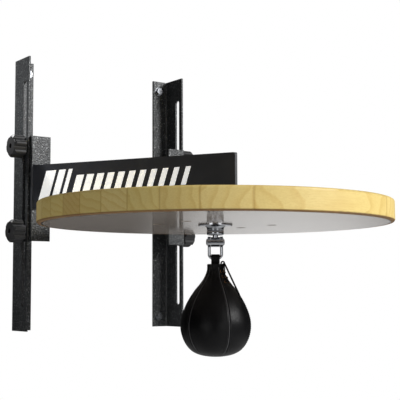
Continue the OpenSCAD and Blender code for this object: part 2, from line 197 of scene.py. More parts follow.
def bevel(obj, width, segments=3, angle=35):
    """Softens the sharp edges of a part."""
    mod = obj.modifiers.new("bevel", "BEVEL")
    mod.width = width
    mod.segments = segments
    mod.limit_method = "ANGLE"
    mod.angle_limit = math.radians(angle)
    mod.harden_normals = False


def smooth_by_angle(obj, degrees=35):
    """Smooth faces, with edges over that angle kept sharp."""
    mesh = obj.data
    mesh.polygons.foreach_set("use_smooth", [True] * len(mesh.polygons))
    mesh.set_sharp_from_angle(angle=math.radians(degrees))


def catmull(points, steps=8):
    """A smooth path through points."""
    path = []
    for i in range(len(points) - 1):
        p0, p1 = points[max(i - 1, 0)], points[i]
        p2, p3 = points[i + 1], points[min(i + 2, len(points) - 1)]
        for k in range(steps):
            t = k / steps
            path.append(0.5 * (2 * p1 + (p2 - p0) * t + (2 * p0 - 5 * p1 + 4 * p2 - p3) * t * t
                               + (3 * p1 - p0 - 3 * p2 + p3) * t ** 3))
    path.append(points[-1].copy())
    return path


# ---------------------------------------------------------------- material helpers
class Nodes:
    """Builds a material's node tree in a few words a node."""

    def __init__(self, name):
        self.mat = bpy.data.materials.new(name)
        self.mat.use_nodes = True
        self.tree = self.mat.node_tree
        self.shader = self.tree.nodes["Principled BSDF"]
        self.coords = self.tree.nodes.new("ShaderNodeTexCoord").outputs["Object"]

    def add(self, kind, inputs=None, **settings):
        node = self.tree.nodes.new(kind)
        for key, value in settings.items():
            setattr(node, key, value)
        for key, value in (inputs or {}).items():
            self.put(node.inputs[key], value)
        return node

    def put(self, socket, value):
        if isinstance(value, bpy.types.NodeSocket):
            self.tree.links.new(value, socket)
        else:
            socket.default_value = value

    def scaled(self, scale, turn=(0, 0, 0), move=(0, 0, 0)):
        """The object's coordinates, moved, turned and stretched."""
        return self.add("ShaderNodeMapping", {"Vector": self.coords, "Scale": scale, "Rotation": turn,
                                              "Location": move}).outputs[0]

    def noise(self, scale, detail=3.0, rough=0.5, vector=None, distortion=0.0):
        inputs = {"Vector": vector or self.coords, "Scale": scale, "Detail": detail, "Roughness": rough,
                  "Distortion": distortion}
        return self.add("ShaderNodeTexNoise", inputs).outputs["Fac"]

    def voronoi(self, scale, feature="F1", vector=None, randomness=1.0, out="Distance"):
        return self.add("ShaderNodeTexVoronoi", {"Vector": vector or self.coords, "Scale": scale,
                                                 "Randomness": randomness}, feature=feature).outputs[out]

    def math(self, operation, a, b=0.0, clamp=False):
        node = self.add("ShaderNodeMath", {0: a, 1: b}, operation=operation)
        node.use_clamp = clamp
        return node.outputs[0]

    def vector(self, operation, a, b):
        return self.add("ShaderNodeVectorMath", {0: a, 1: b}, operation=operation).outputs[0]

    def ramp(self, value, stops):
        """stops are (position, colour or grey value)."""
        node = self.add("ShaderNodeValToRGB", {"Fac": value})
        ramp = node.color_ramp
        while len(ramp.elements) < len(stops):
            ramp.elements.new(1.0)
        for element, (position, colour) in zip(ramp.elements, stops):
            element.position = position
            element.color = colour if hasattr(colour, "__len__") else (colour, colour, colour, 1)
        return node.outputs["Color"]

    def mix(self, factor, a, b, blend="MIX"):
        node = self.add("ShaderNodeMix", data_type="RGBA", blend_type=blend)
        self.put(node.inputs["Factor"], factor)
        self.put(node.inputs["A"], a)
        self.put(node.inputs["B"], b)
        return node.outputs["Result"]

    def bump(self, height, strength, distance, normal=None):
        inputs = {"Height": height, "Strength": strength, "Distance": distance}
        if normal is not None:
            inputs["Normal"] = normal
        return self.add("ShaderNodeBump", inputs).outputs[0]

    def finish(self, **inputs):
        """Sets the shader's sockets and gives the material back."""
        for key, value in inputs.items():
            self.put(self.shader.inputs[key.replace("_", " ")], value)
        return self.mat


def rgb(r, g, b):
    """A linear colour from 0-255 screen values."""
    linear = [v / 255 / 12.92 if v <= 10 else ((v / 255 + 0.055) / 1.055) ** 2.4 for v in (r, g, b)]
    return (*linear, 1)


# ---------------------------------------------------------------- materials
def hammered_paint():
    """Grey hammered powder coat, 3 mm dimples with bright and dark flecks; the bright flecks are partly the coat's
    own speckle and partly painted glints of the dimples.
    """
    m = Nodes("hammered_paint")
    dimples = m.voronoi(330, "SMOOTH_F1")
    speckle_and_glint = m.noise(430, 2.5, 0.8)
    drift = m.noise(9, 3)
    # the brightest stop is partly speckle in the coat and partly painted glints of the dimples, put in as colour
    base = m.ramp(speckle_and_glint, [(0.36, rgb(28, 30, 32)), (0.5, rgb(45, 47, 49)), (0.62, rgb(64, 66, 67)),
                            (0.68, rgb(176, 179, 179))])
    base = m.mix(1.0, base, m.ramp(drift, [(0.3, 0.84), (0.7, 1.0)]), "MULTIPLY")
    rough = m.ramp(speckle_and_glint, [(0.35, 0.46), (0.7, 0.3)])
    height = m.math("ADD", dimples, m.math("MULTIPLY", speckle_and_glint, 0.5))
    return m.finish(Base_Color=base, Metallic=0.15, Roughness=rough, Normal=m.bump(height, 0.85, 0.0008))


def arm_paint():
    """Near-black satin powder coat with a fine orange peel."""
    m = Nodes("arm_paint")
    peel = m.noise(900, 2, 0.5)
    wear = m.noise(14, 5, 0.6)
    base = m.ramp(wear, [(0.3, rgb(39, 41, 48)), (0.7, rgb(47, 49, 57))])
    rough = m.ramp(wear, [(0.3, 0.42), (0.7, 0.52)])
    return m.finish(Base_Color=base, Roughness=rough, Normal=m.bump(peel, 0.18, 0.0003))


def zinc_plate():
    """Bright zinc with a brushed, slightly cloudy surface."""
    m = Nodes("zinc_plate")
    clouds = m.noise(120, 4, 0.6)
    base = m.ramp(clouds, [(0.3, rgb(100, 102, 106)), (0.7, rgb(150, 152, 156))])
    rough = m.ramp(m.noise(600, 3), [(0.3, 0.22), (0.7, 0.42)])
    return m.finish(Base_Color=base, Metallic=1.0, Roughness=rough, Normal=m.bump(clouds, 0.1, 0.0002))


def chrome_plate():
    """Polished chrome with faint handling marks."""
    m = Nodes("chrome_plate")
    marks = m.noise(260, 5, 0.65)
    rough = m.ramp(marks, [(0.35, 0.05), (0.75, 0.16)])
    base = m.ramp(m.noise(40, 3), [(0.3, rgb(150, 152, 156)), (0.7, rgb(174, 176, 180))])
    return m.finish(Base_Color=base, Metallic=1.0, Roughness=rough, Normal=m.bump(marks, 0.03, 0.0002))


def moulded_plastic():
    """Black moulded plastic with a fine spark-eroded texture."""
    m = Nodes("moulded_plastic")
    grain = m.voronoi(2400)
    flow = m.noise(60, 3)
    base = m.ramp(flow, [(0.3, rgb(16, 16, 18)), (0.7, rgb(25, 25, 27))])
    rough = m.ramp(flow, [(0.3, 0.5), (0.7, 0.62)])
    return m.finish(Base_Color=base, Roughness=rough, Normal=m.bump(grain, 0.15, 0.0002))


def nylon():
    m = Nodes("nylon")
    base = m.ramp(m.noise(90, 3), [(0.3, rgb(214, 208, 190)), (0.7, rgb(230, 226, 212))])
    return m.finish(Base_Color=base, Roughness=0.5, Normal=m.bump(m.noise(700, 2), 0.1, 0.0002))


def stave_wood():
    """Pale lacquered hardwood, glued up from staves that run along X.

    Every stave is cut from its own log: growth rings round an axis along X, so the rim
    shows arched grain where it runs along the staves and ring ends where it crosses them.
    A dark brown line round the lower rounded edge is painted shade.
    """
    m = Nodes("stave_wood")
    stave_w = 0.0425
    xyz = m.add("ShaderNodeSeparateXYZ", {"Vector": m.coords}).outputs
    row = m.math("DIVIDE", m.math("ADD", xyz[1], 0.0135), stave_w)
    index = m.math("FLOOR", row)
    inside = m.math("SUBTRACT", row, index)
    rand = m.add("ShaderNodeTexWhiteNoise", {"W": index}, noise_dimensions="1D").outputs
    shift = m.vector("MULTIPLY", rand["Color"], (3.0, 0.5, 0.5))
    local = m.vector("ADD", m.coords, shift)
    slow = m.add("ShaderNodeMapping", {"Vector": local, "Scale": (2.2, 14, 14)}).outputs[0]
    bend = m.add("ShaderNodeTexNoise", {"Vector": slow, "Scale": 1.0, "Detail": 2.0}).outputs["Color"]
    bend = m.vector("MULTIPLY", bend, (0.05, 0.05, 0.05))
    log = m.vector("ADD", local, bend)
    rings = m.add("ShaderNodeTexWave", {"Vector": log, "Scale": 26.0, "Distortion": 1.4, "Detail": 3.0,
                                        "Detail Scale": 1.6, "Detail Roughness": 0.6},
                  wave_type="RINGS", rings_direction="X", wave_profile="SAW").outputs["Fac"]
    fibre = m.add("ShaderNodeMapping", {"Vector": local, "Scale": (9, 520, 520)}).outputs[0]
    fibre = m.noise(1.0, 4, 0.65, vector=fibre)
    pores = m.add("ShaderNodeMapping", {"Vector": local, "Scale": (40, 1500, 1500)}).outputs[0]
    pores = m.noise(1.0, 2, 0.5, vector=pores)
    tone = m.ramp(rand["Value"], [(0.0, rgb(226, 202, 128)), (0.35, rgb(236, 216, 138)),
                                  (0.65, rgb(220, 193, 121)), (1.0, rgb(242, 223, 150))])
    ring_tone = m.ramp(rings, [(0.0, (1, 1, 1, 1)), (0.55, (0.98, 0.96, 0.92, 1)), (0.9, (0.9, 0.83, 0.7, 1)),
                               (1.0, (0.96, 0.92, 0.85, 1))])
    colour = m.mix(0.9, tone, ring_tone, "MULTIPLY")
    fibre_tone = m.ramp(fibre, [(0.3, (0.86, 0.8, 0.68, 1)), (0.62, (1, 1, 1, 1))])
    colour = m.mix(0.55, colour, fibre_tone, "MULTIPLY")
    pore_tone = m.ramp(pores, [(0.3, (0.8, 0.72, 0.58, 1)), (0.42, (1, 1, 1, 1))])
    colour = m.mix(0.4, colour, pore_tone, "MULTIPLY")
    edge = m.math("MINIMUM", inside, m.math("SUBTRACT", 1.0, inside))
    glue = m.ramp(edge, [(0.0, (0.55, 0.42, 0.26, 1)), (0.016, (0.78, 0.66, 0.46, 1)), (0.035, (1, 1, 1, 1))])
    colour = m.mix(0.55, colour, glue, "MULTIPLY")
    # Painted shade: the bottom 2 to 3 mm of the rim is darkened brown, where the rounded edge turns downwards.
    above = m.math("DIVIDE", m.math("SUBTRACT", xyz[2], BOARD_LOW), 0.01)
    painted_edge_shade = m.ramp(above, [(0.22, (0.3, 0.2, 0.12, 1)), (0.34, (1, 1, 1, 1))])
    colour = m.mix(1.0, colour, painted_edge_shade, "MULTIPLY")
    height = m.math("ADD", m.math("MULTIPLY", fibre, 0.6), m.math("MULTIPLY", rings, 0.25))
    height = m.math("ADD", height, m.ramp(edge, [(0.0, 0.0), (0.02, 1.0)]))
    rough = m.ramp(fibre, [(0.3, 0.62), (0.7, 0.48)])
    return m.finish(Base_Color=colour, Roughness=rough, Coat_Weight=0.06, Coat_Roughness=0.3,
                    Normal=m.bump(height, 0.12, 0.0003))


EDGE_BAND = 0.2  # the laminate's brown rim, in centimetres


def strike_laminate():
    """Pale warm grey laminate, semi-gloss, with faint scuffs; dark brown round its outer edge."""
    m = Nodes("strike_laminate")
    clouds = m.noise(7, 4, 0.55)
    scuffs = m.noise(1.0, 5, 0.7, vector=m.scaled((22, 90, 22), (0, 0, 0.5)))
    base = m.ramp(clouds, [(0.3, rgb(182, 171, 161)), (0.7, rgb(190, 179, 168))])
    base = m.mix(0.25, base, m.ramp(scuffs, [(0.35, 0.88), (0.6, 1.0)]), "MULTIPLY")
    reach = m.vector("SUBTRACT", m.coords, (BOARD_MID.x, BOARD_MID.y, 0))
    reach = m.vector("MULTIPLY", reach, (1, 1, 0))
    reach = m.add("ShaderNodeVectorMath", {0: reach}, operation="LENGTH").outputs["Value"]
    # the outer 2 mm of the face are made dark brown
    inward = m.math("DIVIDE", m.math("SUBTRACT", FACE_R, reach), 0.01)
    base = m.mix(m.ramp(inward, [(EDGE_BAND, 1.0), (EDGE_BAND + 0.05, 0.0)]), base, rgb(64, 44, 26))
    rough = m.ramp(scuffs, [(0.3, 0.12), (0.7, 0.07)])
    return m.finish(Base_Color=base, Roughness=rough, Normal=m.bump(clouds, 0.02, 0.0003))


def bag_leather(name="bag_leather", scale=900, rough_low=0.34, rough_high=0.46):
    """Black leather: small raised pebbles, wrinkle lines and uneven shine."""
    m = Nodes(name)
    pebbles = m.voronoi(scale, "SMOOTH_F1")
    creases = m.voronoi(scale * 0.35, "DISTANCE_TO_EDGE", vector=m.coords)
    wide = m.noise(26, 4, 0.6)
    base = m.ramp(wide, [(0.3, rgb(4, 4, 5)), (0.7, rgb(8, 8, 10))])
    rough = m.ramp(wide, [(0.3, rough_low), (0.7, rough_high)])
    height = m.math("ADD", m.math("MULTIPLY", pebbles, -0.8), m.ramp(creases, [(0.0, 0.0), (0.12, 0.5)]))
    normal = m.bump(height, 0.22, 0.0004)
    normal = m.bump(m.noise(60, 3), 0.08, 0.001, normal)
    return m.finish(Base_Color=base, Roughness=rough, Normal=normal, Specular_IOR_Level=0.15)


def seam_welt_highlight():
    """The folded leather edge in a seam, painted grey all over: a painted highlight along the seam."""
    m = Nodes("seam_welt_highlight")
    grey_mottle = m.noise(300, 4, 0.6)
    # Painted highlight: this grey stands in for the light caught along each seam.
    base = m.ramp(grey_mottle, [(0.3, rgb(52, 52, 54)), (0.7, rgb(92, 92, 94))])
    return m.finish(Base_Color=base, Roughness=0.5, Normal=m.bump(grey_mottle, 0.15, 0.0002))


def thread():
    """Waxed charcoal thread, twisted."""
    m = Nodes("thread")
    inputs = {"Vector": m.coords, "Scale": 900.0}
    twist = m.add("ShaderNodeTexWave", inputs, bands_direction="DIAGONAL").outputs["Fac"]
    base = m.ramp(twist, [(0.3, rgb(20, 20, 22)), (0.7, rgb(40, 40, 42))])
    return m.finish(Base_Color=base, Roughness=0.7, Normal=m.bump(twist, 0.3, 0.0002))


def antique_bronze():
    """Darkened brass eyelets, worn bright on the rim."""
    m = Nodes("antique_bronze")
    worn = m.noise(700, 4, 0.6)
    base = m.ramp(worn, [(0.35, rgb(74, 50, 34)), (0.65, rgb(150, 112, 78))])
    return m.finish(Base_Color=base, Metallic=0.9, Roughness=0.36, Normal=m.bump(worn, 0.15, 0.0002))


def white_print_glowing():
    """Screen-printed white ink, slightly uneven, with a faint painted glow."""
    m = Nodes("white_print_glowing")
    ink = m.noise(500, 4, 0.6)
    base = m.ramp(ink, [(0.3, rgb(226, 228, 230)), (0.6, rgb(246, 247, 248))])
    # The emission is a painted glow: the print lights itself, though it is no lamp.
    return m.finish(Base_Color=base, Roughness=0.5, Normal=m.bump(ink, 0.12, 0.0001),
                    Emission_Color=(1, 1, 1, 1), Emission_Strength=0.5)


def bladder_rubber():
    m = Nodes("bladder_rubber")
    base = m.ramp(m.noise(80, 3), [(0.3, rgb(52, 34, 30)), (0.7, rgb(70, 46, 40))])
    return m.finish(Base_Color=base, Roughness=0.7, Normal=m.bump(m.noise(500, 2), 0.1, 0.0002))


PAINT = hammered_paint()
ARM = arm_paint()
ZINC = zinc_plate()
CHROME = chrome_plate()
PLASTIC = moulded_plastic()
NYLON = nylon()
WOOD = stave_wood()
LAMINATE = strike_laminate()
LEATHER = bag_leather()
STRAP = bag_leather("strap_leather", 1300, 0.5, 0.66)
WELT_HIGHLIGHT = seam_welt_highlight()
THREAD = thread()
BRONZE = antique_bronze()
GLOWING_PRINT = white_print_glowing()
RUBBER = bladder_rubber()

SLOT_MATERIALS = {
    "rail_paint": PAINT, "arm_paint": ARM, "zinc": ZINC, "plastic": PLASTIC, "board_wood": WOOD,
    "strike_laminate": LAMINATE, "chrome": CHROME, "nylon": NYLON, "bag_leather": LEATHER,
    "bladder_rubber": RUBBER, "eyelet_bronze": BRONZE, "lace_leather": STRAP,
}


def paint(obj, material):
    obj.data.materials.clear()
    obj.data.materials.append(material)


def finish_nodes():
    """Every CAD node gets the material of its slot."""
    for part in frame["record"]["subparts"]:
        node = NODES[part["node"]]
        paint(node, SLOT_MATERIALS[part["material_slot"]])
        smooth_by_angle(node)


def place(obj, body, slot, material, *nodes):
    """The piece rides on a body, takes the given material and stands for CAD nodes; the slot is not used."""
    paint(obj, material)
    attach(obj, body)
    if nodes:
        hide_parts(*nodes)
    return obj


def hung(obj):
    """Moves a mesh made in the swivel's own frame to its place."""
    obj.data.transform(SWIVEL)
    obj.data.update()
    return obj


# ---------------------------------------------------------------- the lace's free end
# Points in the swivel's frame: out of the knot, straight down beside the bag, on to its shoulder
LACE_ROUTE = [Vector(p) for p in (
    (0.015, -0.004, -0.067), (0.0162, -0.004, -0.069), (0.0182, -0.004, -0.073), (0.0201, -0.004, -0.077),
    (0.0219, -0.004, -0.081), (0.0238, -0.004, -0.085), (0.0257, -0.004, -0.089), (0.0275, -0.004, -0.093),
    (0.0294, -0.004, -0.097), (0.0312, -0.004, -0.101), (0.0331, -0.0041, -0.105), (0.0349, -0.0045, -0.109),
    (0.0368, -0.0056, -0.113), (0.0382, -0.0072, -0.116), (0.0394, -0.0096, -0.119),
    (0.0403, -0.012, -0.1215), (0.041, -0.0166, -0.1238), (0.0414, -0.0196, -0.1256))]
LACE_D = 0.003


def make_lace():
    path = [SWIVEL @ p for p in catmull(LACE_ROUTE, 3)]
    tip = 0.03
    lace = loft("lace_free_end", sweep(path, lambda t: LACE_D / 2 * (1 if t < 1 - tip else 0.72), 12))
    place(lace, "bag", "lace_leather", STRAP, "lace_end")


make_lace()
finish_nodes()


# ---------------------------------------------------------------- steel frame
def soften_nodes():
    """Rolled, sheared and moulded edges on the CAD parts."""
    widths = {
        "rail": 0.0005, "slider_angle": 0.0008, "arm": 0.0009, "cross_plate": 0.0009,
        "mounting_plate": 0.0009,
        "knob": 0.0009, "bolts": 0.0006, "washers": 0.0003, "washer": 0.0003,
        "nuts": 0.0005, "stud": 0.0005, "swivel_ball": 0.0009, "bail": 0.0009, "swivel_plate": 0.0004,
    }
    for name, node in NODES.items():
        width = next((w for key, w in widths.items() if name.endswith(key)), None)
        if width:
            bevel(node, width)


soften_nodes()

ARM_LO, ARM_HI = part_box("left_arm")
ANGLE_LO, ANGLE_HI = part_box("left_slider_angle")
PLATE_LO, PLATE_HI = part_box("cross_plate")
NOSE_HALF = 0.0024
ARM_ROOT = Vector((ARM_LO.x, ARM_HI.y, ARM_LO.z))
ARM_NOSE = Vector((-NOSE_HALF, ARM_LO.y, ARM_LO.z))
ARM_T = PLATE_HI.y - PLATE_LO.y


def mirrored(points, side):
    """Points of the left side, or the same points on the right side."""
    return [Vector((-p.x if side > 0 else p.x, p.y, p.z)) for p in points]


def bead(path, radius=0.0022):
    """A weld bead: a tube along the joint, in overlapping ripples."""
    ripple = 0.0034
    total = sum((b - a).length for a, b in zip(path, path[1:]))
    steps = max(8, round(total / ripple * 4))
    line = [path[0].lerp(path[-1], k / steps) for k in range(steps + 1)]

    def width(t):
        ends = min(1.0, 8 * min(t, 1 - t) + 0.45)
        return radius * ends * (1 + 0.13 * abs(math.sin(math.pi * t * total / ripple)))
    return sweep(line, width, 8)


def make_welds():
    """Beads where the slider angles, the cross plate, the arms and the mounting plate meet."""
    along = (ARM_NOSE - ARM_ROOT).normalized()
    inward = Vector((-along.y, along.x, 0))
    inner_root = ARM_ROOT + inward * ARM_T + along * 0.006
    plate_lo, plate_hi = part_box("mounting_plate")
    on_plate = [inner_root + along * ((plate_hi.y - inner_root.y) / along.y), inner_root + along * 0.43]
    on_plate = [p + inward * 0.0004 for p in on_plate]
    up = Vector((0, 0, PLATE_HI.z - PLATE_LO.z))
    seams = [
        *([Vector((x, ANGLE_LO.y, z)) for x in (ANGLE_LO.x + 0.002, ANGLE_HI.x - 0.002)]
          for z in (PLATE_HI.z, PLATE_LO.z)),
        [inner_root + up * 0.04, inner_root + up * 0.96],
        on_plate,
    ]
    rings = [bead(mirrored(seam, side)) for side in (-1, 1) for seam in seams]
    nose = Vector((0, ARM_LO.y + ARM_T * 2.6, ARM_LO.z))
    rings.append(bead([nose + up * 0.03, nose + up * 0.86], 0.003))
    place(tubes("weld_beads", rings), "platform", "arm_paint", ARM)


make_welds()


# ---------------------------------------------------------------- printed stripes
def make_stripes(side):
    """A plain row of slanted white bars along the outside of an arm."""
    along = (ARM_NOSE - ARM_ROOT).normalized()
    outward = Vector((along.y, -along.x, 0))
    ink = 0.00012
    lean = 0.34
    tall, low = (0.0145, 0.0705), (0.0265, 0.058)
    bars = [(0.019, 0.024, tall), (0.05, 0.016, tall), (0.073, 0.009, tall)]
    start, count = 0.096, 11
    bars += [(start + 0.0238 * k, 0.017 - 0.0007 * k, low) for k in range(count)]
    points, faces = [], []
    for at, width, (bottom, top) in bars:
        base = len(points)
        for lift in (0.00002, ink):
            for u, v in ((at, bottom), (at + width, bottom), (at + width, top), (at, top)):
                foot = ARM_ROOT + along * (u + lean * (v - low[0])) + outward * lift
                points.append(foot + Vector((0, 0, v)))
        faces += [tuple(base + k for k in quad) for quad in (
            (0, 1, 2, 3), (4, 5, 6, 7), (0, 1, 5, 4), (1, 2, 6, 5), (2, 3, 7, 6), (3, 0, 4, 7))]
    name = "left_arm_stripes" if side < 0 else "right_arm_stripes"
    place(mesh_object(name, mirrored(points, side), faces, smooth=False), "platform", "arm_paint", GLOWING_PRINT)


for side in (-1, 1):
    make_stripes(side)


# ---------------------------------------------------------------- swivel
def turned(name, profile, sides=96):
    """A turned part from (radius, depth) in millimetres, hung in the swivel's frame."""
    return hung(revolve(name, [(r * MM, z * MM) for r, z in profile], sides))


def make_swivel():
    cup = turned("swivel_housing", [
        (0, -3.05), (17.4, -3.05), (16.6, -3.5), (15.5, -4.4), (14.9, -5.6), (14.7, -7.0), (14.7, -8.4),
        (14.3, -8.8), (13.9, -9.0), (13.9, -9.8), (14.3, -10.0), (14.7, -10.4), (14.7, -15.4),
        (14.5, -16.6), (13.8, -17.7), (12.6, -18.4), (11.0, -18.6), (7.6, -18.6), (6.9, -18.4),
        (6.6, -17.8), (6.9, -16.4), (7.9, -14.4), (8.3, -11.6), (8.3, -3.3), (0, -3.3)])
    smooth_by_angle(cup, 50)
    place(cup, "platform", "chrome", CHROME, "swivel_cup")
    head = [(0, 16.1), (2.4, 16.0), (4.4, 15.5), (5.7, 14.7), (6.3, 13.9), (6.2, 13.45), (4.0, 13.4)]
    profile = head + [(r, -z) for r, z in reversed(head)]
    pin = revolve("swivel_rivet", [(r * MM, z * MM) for r, z in profile], 64,
                  Matrix.Translation((0, 0, PIN_Z - BOARD_LOW)) @ Matrix.Rotation(math.pi / 2, 4, "Y"))
    smooth_by_angle(pin, 50)
    place(hung(pin), "swivel", "chrome", CHROME, "swivel_pin")


make_swivel()


# ---------------------------------------------------------------- bag
# Outline of the bag: (radius, depth below the board), in millimetres, from the throat's lip down
BAG_OUTLINE = [(13.9, -68.6), (13.7, -73), (14.3, -79), (17.2, -86.6), (22, -95.2), (28.6, -103.8),
               (35.7, -112.4), (46.8, -129.5), (54.9, -146.7), (59.2, -162), (60.1, -174), (58.6, -186),
               (54.7, -198), (48.2, -208.5), (39.6, -216.5), (28.4, -221.8), (15, -224.6), (6, -225.4)]
PANELS = 5
PANEL_ANGLE = math.tau / PANELS
SEAM_AT = math.radians(22)
SLIT_AT = math.radians(52)
EYELET_HALF = math.radians(12)
EYELET_ROWS = (-80.5, -89.5, -98.5)


def arc_resample(points, count):
    """The path cut into count equal steps."""
    lengths = [0.0]
    for a, b in zip(points, points[1:]):
        lengths.append(lengths[-1] + (b - a).length)
    out, i = [], 0
    for k in range(count + 1):
        want = lengths[-1] * k / count
        while i < len(points) - 2 and lengths[i + 1] < want:
            i += 1
        span = lengths[i + 1] - lengths[i]
        out.append(points[i].lerp(points[i + 1], (want - lengths[i]) / span if span else 0))
    return out


OUTLINE = arc_resample(catmull([Vector((r * MM, 0, z * MM)) for r, z in BAG_OUTLINE], 12), 120)


def outline_radius(z):
    """The outline's radius at a depth."""
    for a, b in zip(OUTLINE, OUTLINE[1:]):
        if b.z <= z <= a.z:
            return a.x + (b.x - a.x) * (a.z - z) / max(a.z - b.z, 1e-9)
    return OUTLINE[0].x if z > OUTLINE[0].z else OUTLINE[-1].x


def ease(x):
    x = min(max(x, 0.0), 1.0)
    return x * x * (3 - 2 * x)


def wrapped(angle):
    return (angle + math.pi) % math.tau - math.pi


def bag_point(turn, radius, z, lift=0.0):
    """A point on the leather; turn runs from the swivel's front towards +x."""
    full = radius / 0.06
    to_seam = wrapped((turn - SEAM_AT) * PANELS) / PANELS
    apart = abs(to_seam) * radius
    bulge = 0.0011 * full * (math.cos(to_seam * PANELS / 2 + 0) ** 2 * -1 + 0.55)
    groove = -0.0007 * math.exp(-(apart / 0.0011) ** 2) + 0.0003 * math.exp(-((apart - 0.0028) / 0.0016) ** 2)
    throat = ease((z + 0.108) / 0.028)
    gather = throat * 0.00045 * math.cos(17 * turn + 2.2 * math.sin(3 * turn))
    to_slit = wrapped(turn - SLIT_AT) * radius
    facing = ease((z + 0.112) / 0.006) * ease((0.0095 - abs(to_slit)) / 0.0012)
    slit = -0.0016 * math.exp(-(to_slit / 0.0013) ** 2) * ease((z + 0.106) / 0.004)
    spot = Vector((math.sin(turn), -math.cos(turn), 0)) * radius + Vector((0, 0, z))
    dents = 0.0006 * (noise.noise(spot * 22) + 0.5 * noise.noise(spot * 47)) * full
    creases = 0.00035 * throat * noise.noise(Vector((turn * 9, z * 60, 0.3)))
    r = radius + bulge + groove * (1 - 0.6 * facing) + gather * (1 - facing) + 0.0005 * facing + slit
    r += dents + creases + lift
    return Vector((math.sin(turn) * r, -math.cos(turn) * r, z))


def seam_turns(per_panel=36):
    """Turns round the bag, close together at the seams."""
    turns = []
    for panel in range(PANELS):
        middle = SEAM_AT + PANEL_ANGLE * (panel + 0.5)
        turns += [middle + PANEL_ANGLE / 2 * math.sin(math.pi * (k / per_panel - 0.5))
                  for k in range(per_panel)]
    return turns


def make_bag_shell():
    """Five leather panels, blown tight, with a rolled lip and gathers at the throat."""
    turns = seam_turns()
    lip = [(0.3, -75.5), (9.5, -75.5), (11.2, -74.5), (11.6, -70.5), (12.1, -68.3), (12.9, -67.7),
           (13.6, -68.0)]
    rings = [[Vector((math.sin(a) * r * MM, -math.cos(a) * r * MM, z * MM)) for a in turns] for r, z in lip]
    rings += [[bag_point(a, p.x, p.z) for a in turns] for p in OUTLINE]
    pole = [(0.003, -0.22555), (0.0006, -0.2256)]
    rings += [[Vector((math.sin(a) * r, -math.cos(a) * r, z)) for a in turns] for r, z in pole]
    shell = loft("bag_leather_shell", rings)
    subdivide(shell)
    place(hung(shell), "bag", "bag_leather", LEATHER, "bag_shell")


def stitch_rings(a, b, radius, outward):
    """One stitch: a short thread that dips in at both ends."""
    sink = outward * radius * 1.6
    rise = outward * radius * 0.3
    path = [a - sink, a.lerp(b, 0.2) + rise, a.lerp(b, 0.8) + rise, b - sink]
    return sweep(path, radius, 6)


def make_bag_seams():
    """A welt in each seam, and a row of stitches on both sides of it."""
    welts, stitches = [], []
    pitch, gap, row = 0.0036, 0.0011, 0.0029
    for panel in range(PANELS):
        turn = SEAM_AT + PANEL_ANGLE * panel
        line = [p for p in OUTLINE if -0.2235 < p.z < -0.073]
        welts.append(sweep([bag_point(turn, p.x, p.z, 0.0001) for p in line], 0.0006, 8))
        steps = arc_resample(line, round(sum((b - a).length for a, b in zip(line, line[1:])) / pitch))
        for side in (-1, 1):
            for a, b in zip(steps, steps[1:]):
                if a.z < -0.218:
                    continue
                b = b.lerp(a, gap / pitch)
                ends = [bag_point(turn + side * row / max(p.x, 0.012), p.x, p.z, 0.0001) for p in (a, b)]
                outward = Vector((ends[0].x, ends[0].y, 0)).normalized()
                stitches.append(stitch_rings(ends[0], ends[1], 0.00028, outward))
    # the welts carry the grey painted highlight along each seam
    place(hung(tubes("bag_welts", welts)), "bag", "bag_leather", WELT_HIGHLIGHT)
    place(hung(tubes("bag_stitches", stitches)), "bag", "bag_leather", THREAD)


def eyelet_spot(side, depth):
    z = depth * MM
    radius = outline_radius(z)
    return SLIT_AT + side * EYELET_HALF * (0.018 / radius) ** 0.35, radius, z


def make_eyelets():
    """Rolled bronze eyelets on both edges of the laced slit."""
    rings = []
    for side in (-1, 1):
        for depth in EYELET_ROWS:
            turn, radius, z = eyelet_spot(side, depth)
            centre = bag_point(turn, radius, z, 0.0001)
            up = (bag_point(turn, outline_radius(z + 0.002), z + 0.002, 0.0001) - centre).normalized()
            across = (bag_point(turn + 0.02, radius, z, 0.0001) - centre).normalized()
            out = across.cross(up).normalized()
            loop = [centre + (up * math.cos(a) + across * math.sin(a)) * 0.00215
                    for a in (math.tau * k / 28 for k in range(28))]
            ring = sweep(loop, 0.0007, 8, loop=True)
            rings.append((ring, out))
    points, faces = [], []
    for ring, _ in rings:
        base, n, m = len(points), len(ring[0]), len(ring)
        points += [p for section in ring for p in section]
        faces += [(base + i * n + k, base + i * n + (k + 1) % n, base + (i + 1) % m * n + (k + 1) % n,
                   base + (i + 1) % m * n + k) for i in range(m) for k in range(n)]
    place(hung(mesh_object("bag_eyelet_rings", points, faces)), "bag", "eyelet_bronze", BRONZE, "bag_eyelets")


